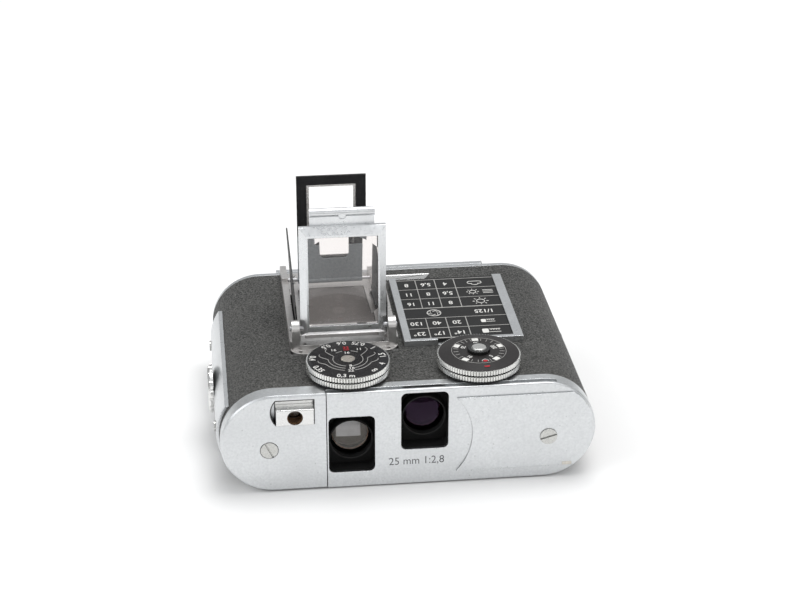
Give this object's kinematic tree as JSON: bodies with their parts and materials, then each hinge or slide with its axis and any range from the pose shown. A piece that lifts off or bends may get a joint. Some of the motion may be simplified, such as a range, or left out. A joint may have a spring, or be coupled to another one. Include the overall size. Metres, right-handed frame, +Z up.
{
  "type": "subminiature twin-lens film camera",
  "caption": "Pocket-size twin-lens film camera lying flat: leather-covered round-ended metal body, focus and speed dials, folding waist-level finder, sliding exposure table.",
  "frame": {"origin": "centre of the base, on the face it lies on", "axes": "+Z up through the finder, -Y is the way the lenses look, +X to the right of somebody facing the lenses"},
  "size_m": [0.0666, 0.0516, 0.0447],
  "materials": {
    "leather": "pebbled black leatherette, matt",
    "shell_metal": "plain",
    "cast_alloy": "die cast, blackened",
    "satin_chrome": "satin chrome plate",
    "bright_chrome": "bright chrome plate",
    "steel": "plain steel",
    "black_paint": "matt black",
    "black_enamel": "gloss black enamel, engraved white",
    "grey_paint": "satin blue grey",
    "frosted_glass": "ground one side",
    "finder_glass": "polished",
    "lens_glass": "polished, uncoated",
    "coated_glass": "polished, blue-violet coating",
    "mirror": "front silvered",
    "cassette_paint": "black lacquer",
    "spool_plastic": "moulded",
    "film": "film base",
    "brass": "turned brass"
  },
  "bodies": {
    "root": {"leather_covering": "leather", "body_shell": "shell_metal", "chassis": "cast_alloy", "door_hinge_pin": "steel", "front_bezel": "satin_chrome", "front_panel": "satin_chrome", "cover_plate": "satin_chrome", "release_housing": "satin_chrome", "front_screws": "bright_chrome", "release_spring": "steel", "window_liners": "black_paint", "rear_cap": "satin_chrome", "rear_plate": "satin_chrome", "small_screws": "bright_chrome", "side_plate": "satin_chrome", "dial_seats": "black_paint", "finder_tray": "satin_chrome", "ground_glass": "frosted_glass", "table_shoe": "satin_chrome", "light_baffle": "black_paint", "shutter_plate": "black_paint", "viewing_mirror": "mirror", "taking_mirror": "mirror", "film_cassettes": "cassette_paint", "film_strip": "film"},
    "focus_dial": {"focus_ring": "bright_chrome", "focus_scale": "black_enamel", "focus_screw": "bright_chrome", "focus_shaft": "steel"},
    "lens_mount": {"lens_board": "black_paint", "lens_barrels": "black_paint", "viewing_lens_glass": "lens_glass", "taking_lens_glass": "coated_glass"},
    "speed_dial": {"speed_ring": "bright_chrome", "speed_scale": "black_enamel", "speed_shaft": "steel"},
    "reminder": {"reminder_knob": "bright_chrome"},
    "lid": {"lid_frame": "satin_chrome", "lid_glass": "finder_glass", "lid_tongue": "satin_chrome", "lid_hinge_pin": "steel"},
    "sight": {"sight_frame": "black_paint", "sight_liner": "bright_chrome", "back_wall": "grey_paint", "rear_hinge_pin": "steel"},
    "left_wing": {"left_flap": "black_paint"},
    "right_wing": {"right_flap": "black_paint"},
    "release": {"release_button": "bright_chrome"},
    "aperture": {"aperture_wheel": "bright_chrome"},
    "door": {"film_door": "satin_chrome", "pressure_plate": "black_paint"},
    "latch": {"door_latch": "steel"},
    "knob": {"winding_knob": "satin_chrome"},
    "drum": {"mainspring_drum": "brass", "mainspring": "steel"},
    "film_drive": {"sprocket": "steel"},
    "takeup": {"takeup_spool": "spool_plastic"},
    "supply": {"supply_spool": "spool_plastic"},
    "shutter": {"shutter_blade": "steel"},
    "table": {"exposure_table": "black_enamel"}
  },
  "joints": [
    {"name": "focus_turn", "type": "hinge", "parent": "root", "child": "focus_dial", "pos_m": [-0.0099, -0.0173, 0.02], "axis": [0, 0, 1], "range_deg": [0, 300]},
    {"name": "lens_slide", "type": "slide", "parent": "root", "child": "lens_mount", "axis": [0, 1, 0], "range_m": [0, 0.002]},
    {"name": "speed_turn", "type": "hinge", "parent": "root", "child": "speed_dial", "pos_m": [0.0129, -0.0173, 0.02], "axis": [0, 0, 1], "range_deg": [-170, 170]},
    {"name": "reminder_turn", "type": "hinge", "parent": "speed_dial", "child": "reminder", "pos_m": [0.0129, -0.0173, 0.0218], "axis": [0, 0, 1], "range_deg": [-150, 150]},
    {"name": "lid_fold", "type": "hinge", "parent": "root", "child": "lid", "pos_m": [-0.00975, -0.007, 0.0223], "axis": [-1, 0, 0], "range_deg": [0, 90]},
    {"name": "sight_fold", "type": "hinge", "parent": "root", "child": "sight", "pos_m": [-0.00975, 0.0176, 0.0202], "axis": [1, 0, 0], "range_deg": [0, 90]},
    {"name": "left_flap_fold", "type": "hinge", "parent": "root", "child": "left_wing", "pos_m": [-0.01772, 0.0034, 0.01945], "axis": [0, 1, 0], "range_deg": [0, 93]},
    {"name": "right_flap_fold", "type": "hinge", "parent": "root", "child": "right_wing", "pos_m": [-0.00178, 0.0034, 0.01907], "axis": [0, -1, 0], "range_deg": [0, 90]},
    {"name": "release_press", "type": "slide", "parent": "root", "child": "release", "axis": [0, 1, 0], "range_m": [0, 0.0008], "stiffness_N_per_m": 400},
    {"name": "aperture_turn", "type": "hinge", "parent": "root", "child": "aperture", "pos_m": [-0.0336, -0.0033, 0.00925], "axis": [-1, 0, 0], "range_deg": [-120, 120]},
    {"name": "door_swing", "type": "hinge", "parent": "root", "child": "door", "pos_m": [0, 0.0227, 0.00105], "axis": [1, 0, 0], "range_deg": [0, 45]},
    {"name": "latch_slide", "type": "slide", "parent": "door", "child": "latch", "axis": [0, 1, 0], "range_m": [0, 0.001]},
    {"name": "knob_wind", "type": "hinge", "parent": "root", "child": "knob", "pos_m": [0.01905, -0.0175, 0.001], "axis": [0, 0, 1], "continuous": true},
    {"name": "drum_turn", "type": "hinge", "parent": "root", "child": "drum", "pos_m": [0.01905, -0.0175, 0.007], "axis": [0, 0, 1], "continuous": true},
    {"name": "sprocket_turn", "type": "hinge", "parent": "root", "child": "film_drive", "pos_m": [0.0131, 0.0031, 0.00425], "axis": [0, 1, 0], "continuous": true},
    {"name": "takeup_turn", "type": "hinge", "parent": "root", "child": "takeup", "pos_m": [0.02325, 0.0031, 0.00925], "axis": [0, 1, 0], "continuous": true},
    {"name": "supply_turn", "type": "hinge", "parent": "root", "child": "supply", "pos_m": [-0.02325, 0.0031, 0.00925], "axis": [0, 1, 0], "continuous": true},
    {"name": "shutter_swing", "type": "hinge", "parent": "root", "child": "shutter", "pos_m": [0.009, -0.0152, 0.006], "axis": [0, -1, 0], "range_deg": [0, 35]},
    {"name": "table_slide", "type": "slide", "parent": "root", "child": "table", "axis": [0, 1, 0], "range_m": [0, 0.025]}
  ],
  "couplings": [
    {"joint": "lens_slide", "follows": "focus_turn", "m_per_rad": 0.00038},
    {"joint": "sprocket_turn", "follows": "drum_turn", "ratio": 2},
    {"joint": "takeup_turn", "follows": "drum_turn", "ratio": 1},
    {"joint": "supply_turn", "follows": "drum_turn", "ratio": 1}
  ]
}
